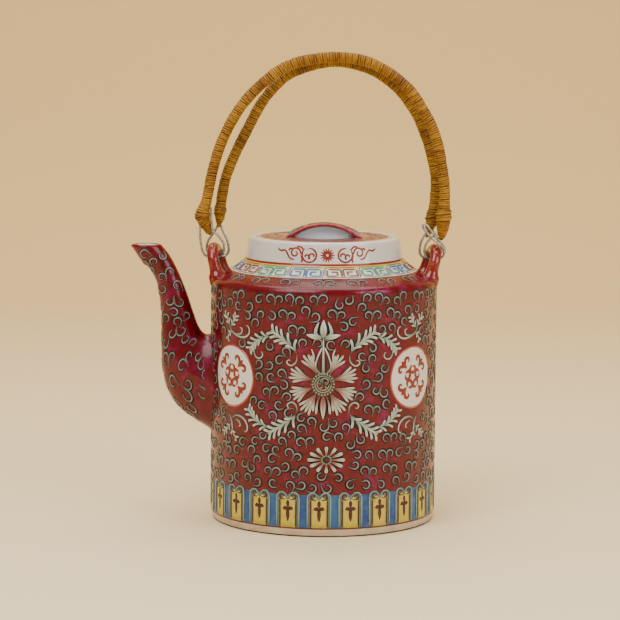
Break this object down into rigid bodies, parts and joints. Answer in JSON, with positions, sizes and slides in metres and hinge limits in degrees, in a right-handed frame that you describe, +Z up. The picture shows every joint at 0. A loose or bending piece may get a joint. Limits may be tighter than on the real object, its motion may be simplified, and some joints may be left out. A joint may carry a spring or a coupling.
{
  "type": "porcelain teapot with bail handles",
  "caption": "Straight-sided enamelled porcelain teapot with an inset lift-out lid, a curved spout and two cane-wrapped wire bails that swing on ceramic lugs.",
  "frame": {"origin": "centre of the foot ring, on the surface that the pot stands on", "axes": "+Z up, -Y the front with the main flower, -X the spout"},
  "size_m": [0.1713, 0.12, 0.2485],
  "materials": {
    "enamelled_porcelain": "gloss",
    "split_cane": "satin",
    "cane_rod": "satin",
    "bail_wire": "satin"
  },
  "bodies": {
    "pot": {"pot_body": "enamelled_porcelain", "spout": "enamelled_porcelain", "left_lug": "enamelled_porcelain", "right_lug": "enamelled_porcelain"},
    "lid": {"lid_plate": "enamelled_porcelain", "lid_bridge": "enamelled_porcelain"},
    "front_bail": {"front_core": "cane_rod", "front_wrap": "split_cane", "front_left_eye": "bail_wire", "front_right_eye": "bail_wire", "front_left_binding": "split_cane", "front_right_binding": "split_cane"},
    "rear_bail": {"rear_core": "cane_rod", "rear_wrap": "split_cane", "rear_left_eye": "bail_wire", "rear_right_eye": "bail_wire", "rear_left_binding": "split_cane", "rear_right_binding": "split_cane"}
  },
  "joints": [
    {"name": "lid_lift", "type": "slide", "parent": "pot", "child": "lid", "axis": [0, 0, 1], "range_m": [0, 0.05]},
    {"name": "front_bail_swing", "type": "hinge", "parent": "pot", "child": "front_bail", "pos_m": [0, 0.002, 0.136], "axis": [1, 0, 0], "range_deg": [0, 82]},
    {"name": "rear_bail_swing", "type": "hinge", "parent": "pot", "child": "rear_bail", "pos_m": [0, 0.002, 0.136], "axis": [-1, 0, 0], "range_deg": [0, 72]}
  ]
}
